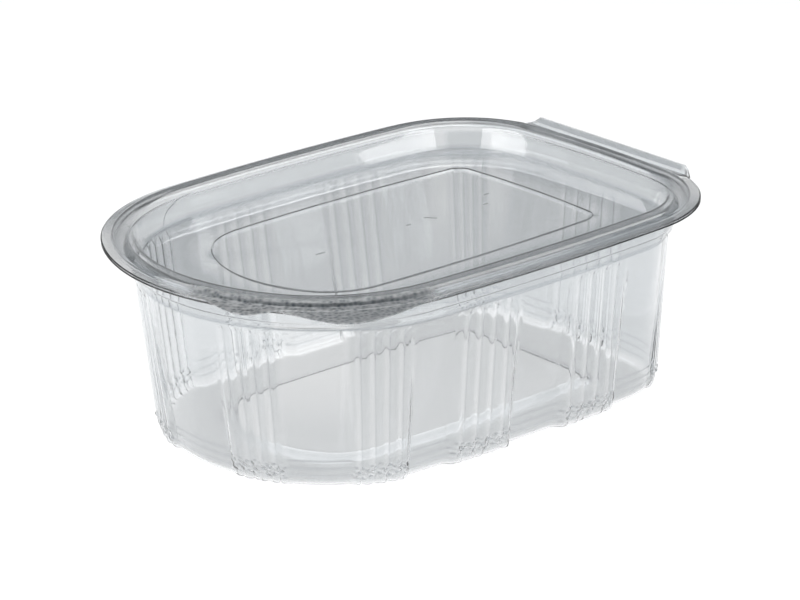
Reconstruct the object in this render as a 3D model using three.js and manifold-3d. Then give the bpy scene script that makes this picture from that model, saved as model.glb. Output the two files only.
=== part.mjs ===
// A clear hinged portion pot: a deep tub with fluted walls and a recessed snap lid, moulded as one sheet.
// Millimetres, +Z up. The origin is at the centre of the footprint, on the surface the foot stands on.
// +X points at the hinge, -X at the front, and the grip corner is at -X, -Y.

import * as THREE from 'three';
import { mergeVertices } from 'three/addons/utils/BufferGeometryUtils.js';
import Module from 'manifold-3d';

const wasm = await Module();
wasm.setup();

// ---------------------------------------------------------------------------------------------
// Driving dimensions
// ---------------------------------------------------------------------------------------------

const SHEET = 0.4; // thickness of the moulded sheet

// Rim outline: five tangent arcs in each half, from the hinge end round to the front end
const RIM_HALF_LENGTH = 70;
const RIM_HALF_WIDTH = 53;
const HINGE_END_RADIUS = 300;
const HINGE_CORNER_RADIUS = 30;
const SIDE_RADIUS = 575;
const FRONT_CORNER_RADIUS = 44;
const FRONT_END_RADIUS = 61;

// Heights above the foot
const FLOOR_RISE = 1.4; // the middle of the floor stands this far off the surface
const RADIUS_TOP = 1.8; // top of the rounded foot
const TAPER_TOP = 8; // the smooth panels pull in below this height
const FLUTE_TOP = 39.4;
const COLLAR_FOOT = 40.4;
const COLLAR_LINE = 41.6; // a small step rings the collar, over the height COLLAR_STEP_RISE
const COLLAR_STEP_RISE = 0.5;
const COLLAR_TOP = 45.2;
const TUB_FLANGE = 46.4; // underside of the tub's flange
const TUB_BEAD = 1; // the tub's bead stands this far off its flange
const LID_FLANGE = 47.1; // underside of the lid's flange
const LID_BEAD = 1.25;
const LID_BEAD_SHOULDER = 0.45; // height of the slopes at both edges of the lid's bead
const LEDGE = 42.4; // underside of the lid's ledge
const PLUG_KNEE_RISE = 2.2; // the plug wall stands steeper above this height over the ledge
const PANEL_DROP = 0.8; // the lid's middle panel lies this far under the ledge

// Insets, measured inwards from the rim outline
const BEAD_OUTER = 2.7; // foot of the lid's bead on its flange
const LID_BEAD_OUTER_TOP = 3.5;
const LID_BEAD_INNER_TOP = 7;
const TUB_BEAD_FOOT = 3.3;
const TUB_BEAD_OUTER_TOP = 4.4;
const TUB_BEAD_INNER_TOP = 5.9;
const NECK = 6.8;
const COLLAR = 5.6;
const COLLAR_FOOT_IN = 0.35; // the collar's foot, its line and the part above it, from the collar's inset
const COLLAR_LINE_IN = 0.25;
const COLLAR_UPPER_OUT = 0.15;
const WALL_TOP = 5.9;
const WALL_CORNER = 1.95; // the wall rounds its corners more than the rim, by this much at the top
const FOOT_CORNER = 0.9; // and the fluted groups by this much at the foot
const COLLAR_CORNER = 0.6;
const TAPER = 0.9; // how far the smooth panels pull in below the taper's top
const SIDE_PANEL_FOOT = 12.9; // smooth panels of the long sides, at the top of the rounded foot
const END_PANEL_FOOT = 12; // the same, at the two ends
const GROUP_FOOT = 10.3; // crests of the fluted groups, at the top of the rounded foot
const FOOT_ROUND = 1.3; // width of the rounded foot
const FOOT_MIDWAY = 0.3; // share of the rounded foot's width and height left at its middle row
const FLOOR_STEP_OUTER = 28;
const FLOOR_STEP_INNER = 28.8;
const PLUG_TOP = 7.7;
const PLUG_KNEE = 8.7;
const LEDGE_OUTER = 10.3;
const LEDGE_INNER = 25.7;
const PANEL_EDGE = 26.2;

// Fluted groups: where the middle of each lies along the rim outline, from the middle of the hinge end
const FLUTE_GROUPS = [
  { middle: 0, width: 27, flutes: 6 },
  { middle: 44.5, width: 17, flutes: 5 },
  { middle: 82.5, width: 20.5, flutes: 5 },
  { middle: 116.5, width: 20.5, flutes: 5 },
  { middle: 148, width: 20.5, flutes: 5 },
  { middle: 186.7, width: 20.5, flutes: 5 },
];
const FLUTE_DEPTH = 0.55;
const GROUP_BLEND = 2; // length over which the end of a group runs back into the panel
const STEPS_PER_FLUTE = 3;
const PANEL_STEP = 6.5; // longest step along a smooth panel
const RIM_STATIONS = 90;

// Grip tabs on the near front corner: one reaches out from the lid, the other from the tub
const LID_TAB = { start: -194, peak: -180, end: -172.5, reach: 4.7 };
const TUB_TAB = { start: -173.5, peak: -157.5, end: -138.5, reach: 6.8 };

// Living hinge: two upright legs that meet under the fold
const HINGE_FOOT_WIDTH = 58;
const HINGE_TOP_WIDTH = 54;
const HINGE_CORNER = 1.2; // size of the rounded upper corners of the legs
const HINGE_CORNER_FULLNESS = 0.2; // how far the corners' curve stays from the sharp corner
const TUB_LEG = { foot: [69.85, 46.5], top: [70.8, 49.05] };
const LID_LEG = { foot: [68.2, 47.2], top: [70.1, 49.05] };
const LID_FLANGE_TRIM = 1.5; // the lid's flange stops short of the outline between the legs' ends
const LID_TRIM_MARGIN = 1; // the trim starts this far beyond the leg's foot
const LID_TRIM_RUN = 3; // and takes this length to reach its depth

// ---------------------------------------------------------------------------------------------
// Rim outline
// ---------------------------------------------------------------------------------------------

// Centre of a corner arc, which touches both the end arc and the long side's arc from inside
function cornerCentre(endRadius, cornerRadius) {
  const endX = RIM_HALF_LENGTH - endRadius;
  const sideY = RIM_HALF_WIDTH - SIDE_RADIUS;
  const gap = Math.hypot(endX, sideY);
  const ux = -endX / gap;
  const uy = sideY / gap;
  const toEnd = endRadius - cornerRadius;
  const toSide = SIDE_RADIUS - cornerRadius;
  const along = (gap * gap + toEnd * toEnd - toSide * toSide) / (2 * gap);
  const across = Math.sqrt(toEnd * toEnd - along * along);
  return new THREE.Vector2(endX + ux * along - uy * across, uy * along + ux * across);
}

// The arcs of the +Y half as { centre, radius, from, length }, in order of the outward angle
function halfOutline() {
  const hinge = cornerCentre(HINGE_END_RADIUS, HINGE_CORNER_RADIUS);
  const front = cornerCentre(FRONT_END_RADIUS, FRONT_CORNER_RADIUS);
  const hingeEnd = new THREE.Vector2(RIM_HALF_LENGTH - HINGE_END_RADIUS, 0);
  const frontEnd = new THREE.Vector2(FRONT_END_RADIUS - RIM_HALF_LENGTH, 0);
  const side = new THREE.Vector2(0, RIM_HALF_WIDTH - SIDE_RADIUS);
  const frontCorner = new THREE.Vector2(-front.x, front.y);
  const turns = [
    0,
    hinge.clone().sub(hingeEnd).angle(),
    hinge.clone().sub(side).angle(),
    frontCorner.clone().sub(side).angle(),
    frontCorner.clone().sub(frontEnd).angle(),
    Math.PI,
  ];
  const arcs = [
    { centre: hingeEnd, radius: HINGE_END_RADIUS },
    { centre: hinge, radius: HINGE_CORNER_RADIUS },
    { centre: side, radius: SIDE_RADIUS },
    { centre: frontCorner, radius: FRONT_CORNER_RADIUS },
    { centre: frontEnd, radius: FRONT_END_RADIUS },
  ];
  return arcs.map((arc, i) => ({
    ...arc,
    from: turns[i],
    length: (turns[i + 1] - turns[i]) * arc.radius,
  }));
}

const ARCS = halfOutline();
const HALF_ROUND = ARCS.reduce((sum, arc) => sum + arc.length, 0);

// Point and outward direction at a distance along the outline; negative distances run round by -Y
function rimAt(distance) {
  let rest = Math.abs(distance);
  let arc = ARCS[0];
  for (arc of ARCS) {
    if (rest <= arc.length || arc === ARCS[ARCS.length - 1]) break;
    rest -= arc.length;
  }
  const angle = arc.from + rest / arc.radius;
  const mirror = distance < 0 ? -1 : 1;
  return {
    x: arc.centre.x + arc.radius * Math.cos(angle),
    y: mirror * (arc.centre.y + arc.radius * Math.sin(angle)),
    nx: Math.cos(angle),
    ny: mirror * Math.sin(angle),
  };
}

// ---------------------------------------------------------------------------------------------
// Wall shape along the outline
// ---------------------------------------------------------------------------------------------

const mix = THREE.MathUtils.lerp;
const smooth = THREE.MathUtils.smoothstep;

// Where a station lies in its fluted group: how far the group stands out, and the bow of its flute
function fluteAt(distance) {
  const s = Math.abs(distance);
  for (const group of FLUTE_GROUPS) {
    const half = group.width / 2;
    const across = Math.abs(s - group.middle);
    if (across >= half) continue;
    const turn = ((s - group.middle + half) / group.width) * group.flutes;
    const part = turn - Math.floor(turn + 1e-6);
    return { stand: smooth(half - across, 0, GROUP_BLEND), bow: 4 * part * (1 - part) };
  }
  return { stand: 0, bow: 0 };
}

// 0 in the middle of the sides and ends, 1 in the middle of the corners
function corneringAt(distance) {
  const { nx, ny } = rimAt(distance);
  return (2 * nx * ny) ** 2;
}

// Inset of the wall's outside at a height between the rounded foot and the flute tops
function wallInset(distance, height) {
  const cornering = corneringAt(distance);
  const top = WALL_TOP + WALL_CORNER * cornering;
  const endness = rimAt(distance).nx ** 2;
  const panelFoot = mix(SIDE_PANEL_FOOT, END_PANEL_FOOT, endness);
  const down = Math.min((FLUTE_TOP - height) / (FLUTE_TOP - TAPER_TOP), 1);
  const below = Math.max(0, (TAPER_TOP - height) / (TAPER_TOP - RADIUS_TOP));
  const panel = mix(mix(top, panelFoot - TAPER, down), panelFoot, below);
  const reach = (FLUTE_TOP - height) / (FLUTE_TOP - RADIUS_TOP);
  const crest = mix(top, GROUP_FOOT + FOOT_CORNER * cornering, reach);
  const { stand, bow } = fluteAt(distance);
  return mix(panel, crest + FLUTE_DEPTH * (1 - bow), stand);
}

// How far a grip tab pushes the flange's edge out at a station
function tabReach(tab, distance) {
  if (distance <= tab.start || distance >= tab.end) return 0;
  const rising = distance < tab.peak;
  const from = rising ? tab.start : tab.end;
  return tab.reach * smooth(Math.abs(distance - from), 0, Math.abs(tab.peak - from));
}

// ---------------------------------------------------------------------------------------------
// Stations and shells
// ---------------------------------------------------------------------------------------------

function evenStations(from, to, longest) {
  const count = Math.ceil((to - from) / longest);
  return Array.from({ length: count }, (_, i) => mix(from, to, i / count));
}

// Stations of the fluted wall, one half mirrored onto the other
function wallStations() {
  const half = [];
  let reached = 0;
  for (const group of FLUTE_GROUPS) {
    const start = group.middle - group.width / 2;
    const end = group.middle + group.width / 2;
    const step = group.width / group.flutes / STEPS_PER_FLUTE;
    if (start > reached) half.push(...evenStations(reached, start, PANEL_STEP));
    half.push(...evenStations(Math.max(start, 0), end, step * 1.001));
    reached = end;
  }
  half.push(...evenStations(reached, HALF_ROUND, PANEL_STEP), HALF_ROUND);
  const other = half.slice(1, -1).map((s) => -s).reverse();
  return [...other, ...half];
}

const FINE = wallStations();
const COARSE = Array.from({ length: RIM_STATIONS }, (_, i) => HALF_ROUND * (2 * (i + 0.5) / RIM_STATIONS - 1));

// Unit normal of a profile segment in the inset-height plane, pointing to the inside of the sheet
function segmentNormal(a, b) {
  const run = b.inset - a.inset;
  const rise = b.z - a.z;
  const size = Math.hypot(run, rise);
  return [rise / size, -run / size];
}

// Rings of one row of a profile: the underside, and the same row moved through the sheet with mitred corners
function ringPair(rows, index) {
  const row = rows[index];
  const stations = row.fine ? FINE : COARSE;
  const under = [];
  const over = [];
  for (const s of stations) {
    const at = (r) => ({ inset: r.inset(s), z: r.z });
    const here = at(row);
    const before = index > 0 ? segmentNormal(at(rows[index - 1]), here) : [0, 1];
    const after = index < rows.length - 1 ? segmentNormal(here, at(rows[index + 1])) : before;
    const mitre = SHEET / (1 + before[0] * after[0] + before[1] * after[1]);
    const rim = rimAt(s);
    const place = (inset, z) => [rim.x - rim.nx * inset, rim.y - rim.ny * inset, z];
    under.push(place(here.inset, here.z));
    over.push(place(here.inset + mitre * (before[0] + after[0]), here.z + mitre * (before[1] + after[1])));
  }
  return { under: { stations, points: under }, over: { stations, points: over } };
}

// Triangles between two rings of any station counts, taken in order round the outline
function bridge(a, b, offsetA, offsetB, triangles) {
  const countA = a.stations.length;
  const countB = b.stations.length;
  const nextS = (ring, i) => ring.stations[i % ring.stations.length] + (i >= ring.stations.length ? 2 * HALF_ROUND : 0);
  let i = 0;
  let j = 0;
  while (i < countA || j < countB) {
    const here = offsetA + (i % countA);
    const there = offsetB + (j % countB);
    const takeA = j >= countB || (i < countA && nextS(a, i + 1) <= nextS(b, j + 1));
    if (takeA) {
      i += 1;
      triangles.push(here, offsetA + (i % countA), there);
    } else {
      j += 1;
      triangles.push(here, offsetB + (j % countB), there);
    }
  }
}

// A flat cap over a ring
function cap(ring, offset, facesUp, triangles) {
  const contour = ring.points.map(([x, y]) => new THREE.Vector2(x, y));
  for (const [p, q, r] of THREE.ShapeUtils.triangulateShape(contour, [])) {
    triangles.push(offset + p, ...(facesUp ? [offset + q, offset + r] : [offset + r, offset + q]));
  }
}

// A closed sheet: the underside from the middle out to the edge, then the upper side back to the middle
function shell(rows) {
  const pairs = rows.map((_, i) => ringPair(rows, i));
  const rings = [...pairs.map((p) => p.under), ...pairs.map((p) => p.over).reverse()];
  const positions = [];
  const offsets = [];
  for (const ring of rings) {
    offsets.push(positions.length / 3);
    positions.push(...ring.points.flat());
  }
  const triangles = [];
  for (let k = 0; k + 1 < rings.length; k += 1) {
    bridge(rings[k], rings[k + 1], offsets[k], offsets[k + 1], triangles);
  }
  cap(rings[0], offsets[0], false, triangles);
  cap(rings[rings.length - 1], offsets[rings.length - 1], true, triangles);
  const geometry = new THREE.BufferGeometry();
  geometry.setAttribute('position', new THREE.Float32BufferAttribute(positions, 3));
  geometry.setIndex(triangles);
  return geometry;
}

// ---------------------------------------------------------------------------------------------
// Joining
// ---------------------------------------------------------------------------------------------

function toSolid(geometry) {
  const bare = geometry.clone();
  bare.deleteAttribute('normal');
  bare.deleteAttribute('uv');
  const merged = mergeVertices(bare, 1e-4);
  return new wasm.Manifold(
    new wasm.Mesh({
      numProp: 3,
      vertProperties: new Float32Array(merged.attributes.position.array),
      triVerts: new Uint32Array(merged.index.array),
    }),
  );
}

function toGeometry(solid) {
  const mesh = solid.getMesh();
  const geometry = new THREE.BufferGeometry();
  const positions = new Float32Array(mesh.numVert * 3);
  for (let i = 0; i < mesh.numVert; i += 1) {
    for (let k = 0; k < 3; k += 1) positions[3 * i + k] = mesh.vertProperties[mesh.numProp * i + k];
  }
  geometry.setAttribute('position', new THREE.BufferAttribute(positions, 3));
  geometry.setIndex(new THREE.BufferAttribute(new Uint32Array(mesh.triVerts), 1));
  geometry.computeVertexNormals();
  return geometry;
}

// An upright leg of the living hinge: a plate with rounded upper corners, leaning from foot to top
function hingeLeg({ foot, top }) {
  const height = Math.hypot(top[0] - foot[0], top[1] - foot[1]);
  const halfFoot = HINGE_FOOT_WIDTH / 2;
  const halfTop = HINGE_TOP_WIDTH / 2;
  const outline = new THREE.Shape();
  outline.moveTo(-halfFoot, 0);
  outline.lineTo(halfFoot, 0);
  outline.lineTo(halfTop, height - HINGE_CORNER);
  outline.quadraticCurveTo(halfTop - HINGE_CORNER_FULLNESS, height, halfTop - HINGE_CORNER, height);
  outline.lineTo(HINGE_CORNER - halfTop, height);
  outline.quadraticCurveTo(HINGE_CORNER_FULLNESS - halfTop, height, -halfTop, height - HINGE_CORNER);
  outline.closePath();
  const plate = new THREE.ExtrudeGeometry(outline, { depth: SHEET, bevelEnabled: false, curveSegments: 3 });
  plate.translate(0, 0, -SHEET / 2);
  const across = new THREE.Vector3(0, 1, 0);
  const up = new THREE.Vector3(top[0] - foot[0], 0, top[1] - foot[1]).normalize();
  const out = new THREE.Vector3().crossVectors(across, up);
  plate.applyMatrix4(new THREE.Matrix4().makeBasis(across, up, out));
  plate.translate(foot[0], 0, foot[1]);
  return toSolid(plate);
}

// ---------------------------------------------------------------------------------------------
// The two bodies
// ---------------------------------------------------------------------------------------------

const fixed = (inset, z) => ({ inset: () => inset, z });
const collarRow = (extra, z) => ({ inset: (s) => COLLAR + extra + COLLAR_CORNER * corneringAt(s), z });
const wallRow = (z, extra = 0) => ({ inset: (s) => wallInset(s, Math.max(z, RADIUS_TOP)) + extra, z, fine: true });

// Tub: floor, foot, fluted wall, collar with its snap undercut, neck, bead and flange
function tubRows() {
  return [
    fixed(FLOOR_STEP_INNER, FLOOR_RISE),
    fixed(FLOOR_STEP_OUTER, 0),
    wallRow(0, FOOT_ROUND),
    wallRow(RADIUS_TOP * FOOT_MIDWAY, FOOT_ROUND * FOOT_MIDWAY),
    wallRow(RADIUS_TOP),
    wallRow(TAPER_TOP),
    wallRow(FLUTE_TOP),
    collarRow(COLLAR_FOOT_IN, COLLAR_FOOT),
    collarRow(COLLAR_LINE_IN, COLLAR_LINE),
    collarRow(-COLLAR_UPPER_OUT, COLLAR_LINE + COLLAR_STEP_RISE),
    collarRow(-COLLAR_UPPER_OUT, COLLAR_TOP),
    fixed(NECK, TUB_FLANGE),
    fixed(TUB_BEAD_INNER_TOP, TUB_FLANGE + TUB_BEAD),
    fixed(TUB_BEAD_OUTER_TOP, TUB_FLANGE + TUB_BEAD),
    fixed(TUB_BEAD_FOOT, TUB_FLANGE),
    { inset: (s) => -tabReach(TUB_TAB, s), z: TUB_FLANGE },
  ];
}

// The lid's flange stops at the foot of its hinge leg, and elsewhere reaches the rim outline or the tab
function lidEdge(s) {
  const between = smooth(HINGE_FOOT_WIDTH / 2 + LID_TRIM_MARGIN - Math.abs(s), 0, LID_TRIM_RUN);
  return LID_FLANGE_TRIM * between - tabReach(LID_TAB, s);
}

// Lid: middle panel, ledge, plug wall, bead and flange
function lidRows() {
  const beadTop = LID_FLANGE + LID_BEAD;
  return [
    fixed(PANEL_EDGE, LEDGE - PANEL_DROP),
    fixed(LEDGE_INNER, LEDGE),
    fixed(LEDGE_OUTER, LEDGE),
    fixed(PLUG_KNEE, LEDGE + PLUG_KNEE_RISE),
    fixed(PLUG_TOP, beadTop - LID_BEAD_SHOULDER),
    fixed(LID_BEAD_INNER_TOP, beadTop),
    fixed(LID_BEAD_OUTER_TOP, beadTop),
    fixed(BEAD_OUTER, beadTop - LID_BEAD_SHOULDER),
    fixed(BEAD_OUTER, LID_FLANGE),
    { inset: lidEdge, z: LID_FLANGE },
  ];
}

// Clear, colourless sheet
function clearSheet(name) {
  return new THREE.MeshStandardMaterial({
    name,
    color: 0xdde1e2,
    roughness: 0.08,
    metalness: 0,
    transparent: true,
    opacity: 0.35,
    side: THREE.DoubleSide,
  });
}

function body(name, rows, leg) {
  const solid = toSolid(shell(rows)).add(hingeLeg(leg));
  const mesh = new THREE.Mesh(toGeometry(solid), clearSheet(`${name}_sheet`));
  mesh.name = name;
  return mesh;
}

const pot = new THREE.Group();
pot.name = 'hinged_portion_pot';
pot.add(body('tub', tubRows(), TUB_LEG));
pot.add(body('lid', lidRows(), LID_LEG));

// The tabs and the fold make the footprint's box uneven, so the whole pot is moved to its middle
const box = new THREE.Box3().setFromObject(pot);
pot.position.set(-(box.min.x + box.max.x) / 2, -(box.min.y + box.max.y) / 2, -box.min.z);
pot.updateMatrixWorld(true);

export default pot;
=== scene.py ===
"""A clear hinged food pot of thin moulded sheet: an oval tub with fluted walls and a recessed snap lid.

Lengths of the pot's own parts are millimetres and are turned into metres where a mesh is made. The frame
is the CAD model's: +Z up from the surface that the foot stands on, +X towards the hinge, the grip tabs at
the -X, -Y corner.
"""

import logging
import math
from dataclasses import dataclass, field
from enum import Enum

import bpy
import numpy as np
from mathutils import Matrix, Vector


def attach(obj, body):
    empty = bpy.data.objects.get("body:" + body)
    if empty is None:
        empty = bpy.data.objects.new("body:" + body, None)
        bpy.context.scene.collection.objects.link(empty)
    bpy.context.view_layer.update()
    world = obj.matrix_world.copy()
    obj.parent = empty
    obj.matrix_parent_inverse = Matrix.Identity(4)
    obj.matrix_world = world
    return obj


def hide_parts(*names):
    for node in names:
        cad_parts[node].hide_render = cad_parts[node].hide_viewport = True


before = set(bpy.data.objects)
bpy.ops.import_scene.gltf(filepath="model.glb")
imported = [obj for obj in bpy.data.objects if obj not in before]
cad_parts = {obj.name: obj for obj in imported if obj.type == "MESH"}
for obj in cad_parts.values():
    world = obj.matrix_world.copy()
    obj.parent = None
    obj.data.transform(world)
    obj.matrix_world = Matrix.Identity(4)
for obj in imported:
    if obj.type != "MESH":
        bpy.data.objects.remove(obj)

LOG = logging.getLogger("hinged_pot")
MM = 0.001
# A hair's breadth, so that rounding carries no station over the border of its flute.
NUDGE = 1e-6
Array = np.ndarray


class Body(Enum):
    """The moving bodies of the frame that the pieces ride on."""

    TUB = "tub"
    LID = "lid"


# ------------------------------------------------------------------------------------------------
# Shape helpers
# ------------------------------------------------------------------------------------------------


def mix(a: Array | float, b: Array | float, t: Array | float) -> Array | float:
    """Blend linearly from a at t = 0 to b at t = 1."""
    return a + (b - a) * t


def smooth(x: Array | float, low: float, high: float) -> Array | float:
    """Rise smoothly from 0 at low to 1 at high, as 3t^2 - 2t^3."""
    t = np.clip((x - low) / (high - low), 0.0, 1.0)
    return t * t * (3 - 2 * t)


def plateau(x: Array, a: float, b: float, c: float, d: float) -> Array:
    """Rise smoothly from 0 at a to 1 at b and fall smoothly from 1 at c to 0 at d."""
    return smooth(x, a, b) * (1 - smooth(x, c, d))


def bell(x: Array, width: float) -> Array:
    """Give 1 at x = 0 and fall towards 0 on both sides, as exp(-(x / width)^2)."""
    return np.exp(-((x / width) ** 2))


@dataclass(frozen=True)
class RimOutline:
    """The outline of the rim: five tangent arcs in each half, from the hinge end round to the front end.

    The halves mirror each other in Y. The outline's centre lies at shift_x in the frame.
    """

    half_length: float = 70.0
    half_width: float = 53.0
    hinge_end_radius: float = 300.0
    hinge_corner_radius: float = 30.0
    side_radius: float = 575.0
    front_corner_radius: float = 44.0
    front_end_radius: float = 61.0
    shift_x: float = -0.471

    def corner(self, end_radius: float, corner_radius: float) -> Array:
        """Find the centre of a corner arc that touches the end arc and the side arc from inside.

        Args:
            end_radius: radius of the arc across the end.
            corner_radius: radius of the corner arc.

        Returns:
            The centre, for an end that lies towards +X.
        """
        end = np.array([self.half_length - end_radius, 0.0])
        side = np.array([0.0, self.half_width - self.side_radius])
        gap = float(np.hypot(*(side - end)))
        unit = (side - end) / gap
        to_end = end_radius - corner_radius
        to_side = self.side_radius - corner_radius
        along = (gap**2 + to_end**2 - to_side**2) / (2 * gap)
        across = math.sqrt(to_end**2 - along**2)
        return np.array([end[0] + unit[0] * along - unit[1] * across, unit[1] * along + unit[0] * across])

    def arcs(self) -> tuple[Array, Array, Array, Array]:
        """Work out the arcs of the +Y half.

        Returns:
            Centres, radii, start angles with the last end angle, and the distances at which the arcs start.
        """
        hinge = self.corner(self.hinge_end_radius, self.hinge_corner_radius)
        front = self.corner(self.front_end_radius, self.front_corner_radius) * np.array([-1.0, 1.0])
        hinge_end = np.array([self.half_length - self.hinge_end_radius, 0.0])
        front_end = np.array([self.front_end_radius - self.half_length, 0.0])
        side = np.array([0.0, self.half_width - self.side_radius])
        joins = np.array([hinge - hinge_end, hinge - side, front - side, front - front_end])
        turns = np.concatenate([[0.0], np.arctan2(joins[:, 1], joins[:, 0]), [math.pi]])
        centres = np.array([hinge_end, hinge, side, front, front_end])
        radii = np.array(
            [
                self.hinge_end_radius,
                self.hinge_corner_radius,
                self.side_radius,
                self.front_corner_radius,
                self.front_end_radius,
            ]
        )
        starts = np.concatenate([[0.0], np.cumsum(np.diff(turns) * radii)])
        return centres, radii, turns, starts

    @property
    def half_round(self) -> float:
        """Length of one half of the outline."""
        return float(self.arcs()[3][-1])

    def at(self, s: Array) -> tuple[Array, Array]:
        """Place points along the outline: each arc's centre plus its radius in the direction of the angle.

        Args:
            s: distances from the middle of the hinge end; negative ones run round by -Y.

        Returns:
            Points and outward unit normals, each of shape (n, 2).
        """
        centres, radii, turns, starts = self.arcs()
        rest = np.abs(s)
        k = np.clip(np.searchsorted(starts, rest, side="right") - 1, 0, len(radii) - 1)
        angle = turns[k] + (rest - starts[k]) / radii[k]
        flip = np.where(s < 0, -1.0, 1.0)
        normal = np.stack([np.cos(angle), np.sin(angle) * flip], axis=-1)
        point = centres[k] * np.stack([np.ones_like(flip), flip], axis=-1) + radii[k][:, None] * normal
        return point + np.array([self.shift_x, 0.0]), normal

    def siding(self, s: Array) -> Array:
        """Give 1 along the two long sides and 0 along the ends, by how far the normal points along Y."""
        return smooth(np.abs(self.at(s)[1][:, 1]), 0.55, 0.96)

    def hinge_ending(self, s: Array) -> Array:
        """Give 1 across the hinge end and 0 on the rest, by how far the normal points along +X."""
        return smooth(self.at(s)[1][:, 0], 0.6, 0.9)

    def cornering(self, s: Array) -> Array:
        """Give 0 in the middle of the sides and ends and 1 in the middle of the corners, as (2 nx ny)^2."""
        normal = self.at(s)[1]
        return (2 * normal[:, 0] * normal[:, 1]) ** 2


@dataclass(frozen=True)
class Knee:
    """One corner of a sheet's profile: how far in from the rim outline, how high, and how rounded."""

    inset: Array | float
    z: Array | float
    round: float = 0.0


def profile(knees: list[Knee], count: int, steps: int) -> tuple[Array, Array]:
    """Join a profile's knees by straight lines and round each knee with a quadratic curve.

    The curve runs from a point on the line before the knee to one on the line after it, each as far from
    the knee as its rounding says but at most 0.45 of the line: (1-t)^2 A + 2t(1-t) K + t^2 B.

    Args:
        knees: corners of the profile, each value a number or one number for every station.
        count: number of stations.
        steps: segments of each rounded knee.

    Returns:
        Insets and heights, each of shape (count, rows).
    """
    most = 0.45
    spots = [np.stack(np.broadcast_arrays(k.inset, k.z, np.zeros(count))[:2], axis=-1) for k in knees]
    rows: list[Array] = []
    for i, knee in enumerate(knees):
        here = spots[i]
        if knee.round <= 0 or i in (0, len(knees) - 1):
            rows.append(here)
            continue
        back = spots[i - 1] - here
        ahead = spots[i + 1] - here
        back_length = np.linalg.norm(back, axis=-1, keepdims=True)
        ahead_length = np.linalg.norm(ahead, axis=-1, keepdims=True)
        a = here + back / back_length * np.minimum(knee.round, most * back_length)
        b = here + ahead / ahead_length * np.minimum(knee.round, most * ahead_length)
        for t in np.linspace(0, 1, steps + 1):
            rows.append((1 - t) ** 2 * a + 2 * t * (1 - t) * here + t**2 * b)
    table = np.stack(rows, axis=1)
    return table[..., 0], table[..., 1]


def sweep(outline: RimOutline, s: Array, inset: Array, z: Array) -> Array:
    """Carry a profile round the outline: rim point minus outward normal times inset, at height z.

    Two rows go before the first one, drawn in towards the middle by half and by 2.5%, so that the flat
    middle shades flat.

    Args:
        outline: the rim outline.
        s: station distances, shape (n,).
        inset: insets, shape (n, rows).
        z: heights, shape (n, rows).

    Returns:
        Points of shape (n, 2 + rows, 3).
    """
    point, normal = outline.at(s)
    plan = point[:, None, :] - normal[:, None, :] * inset[..., None]
    points = np.concatenate([plan, z[..., None]], axis=-1)
    first = points[:, :1]
    middle = first.mean(axis=0, keepdims=True)
    return np.concatenate([mix(middle, first, 0.5), mix(middle, first, 0.975), points], axis=1)


def grid_normals(points: Array, wrap: bool) -> Array:
    """Unit normals of a grid of points, from the cross product of its two central differences.

    Args:
        points: shape (n, rows, 3).
        wrap: whether the first index runs round in a ring.

    Returns:
        Normals of shape (n, rows, 3).
    """
    if wrap:
        along = np.roll(points, -1, axis=0) - np.roll(points, 1, axis=0)
    else:
        along = np.gradient(points, axis=0)
    across = np.gradient(points, axis=1)
    normal = np.cross(across, along)
    return normal / np.maximum(np.linalg.norm(normal, axis=-1, keepdims=True), 1e-12)


def ring_sheet(points: Array, thickness: Array | float) -> tuple[Array, Array]:
    """Give a ring-shaped surface a thickness and close it at its outer edge and over its middle.

    The under side is the surface moved half the thickness against its normal and the upper side half along
    it. The rows run out over the under side, round the edge, and back over the upper side. A point at the
    middle of each side closes the ring's first row.

    Args:
        points: middle surface, shape (n, rows, 3), the first row nearest the middle.
        thickness: of the sheet, one number or one for each point.

    Returns:
        Vertices and quads or triangles as a (faces, 4) array, where a triangle repeats its last corner.
    """
    normal = grid_normals(points, wrap=True)
    half = np.broadcast_to(thickness, points.shape[:2])[..., None] / 2
    under = points - normal * half
    over = points + normal * half
    outwards = points[:, -1] - points[:, -2]
    outwards = outwards / np.linalg.norm(outwards, axis=-1, keepdims=True)
    # The edge stands out by 0.7 of half the thickness, which makes it look round.
    bulge = points[:, -1] + outwards * (0.7 * half[:, -1])
    rings = np.concatenate([under, bulge[:, None], over[:, ::-1]], axis=1)
    n, rows = rings.shape[:2]
    vertices = np.concatenate([rings.reshape(-1, 3), [under[:, 0].mean(axis=0)], [over[:, 0].mean(axis=0)]])
    start = np.arange(n) * rows
    beyond = np.roll(start, -1)
    j = np.arange(rows - 1)
    here = start[:, None] + j
    there = beyond[:, None] + j
    quads = np.stack([here, there, there + 1, here + 1], axis=-1).reshape(-1, 4)
    low = np.full(n, n * rows)
    high = low + 1
    floor = np.stack([beyond, start, low, low], axis=-1)
    roof = np.stack([start + rows - 1, beyond + rows - 1, high, high], axis=-1)
    return vertices, np.concatenate([quads, floor, roof])


def ring_mask(values: Array) -> Array:
    """Lay one value per profile point out in the order of a ring sheet's vertices.

    Args:
        values: shape (n, rows), for the rows of the profile alone.

    Returns:
        One value for each vertex; the flat middle has the first row's.
    """
    rows = np.concatenate([values[:, :1], values[:, :1], values], axis=1)
    rings = np.concatenate([rows, rows[:, -1:], rows[:, ::-1]], axis=1)
    middle = values[:, 0].mean()
    return np.concatenate([rings.ravel(), [middle, middle]])


def steepness(inset: Array, z: Array) -> Array:
    """Give 0 where a profile runs level and 1 where it stands upright: |dz| over the length of its step.

    Args:
        inset: insets, shape (n, rows).
        z: heights, shape (n, rows).

    Returns:
        The steepness, shape (n, rows), from central differences along the rows.
    """
    rise = np.gradient(z, axis=1)
    run = np.gradient(inset, axis=1)
    return np.abs(rise) / np.maximum(np.hypot(rise, run), 1e-9)


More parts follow.
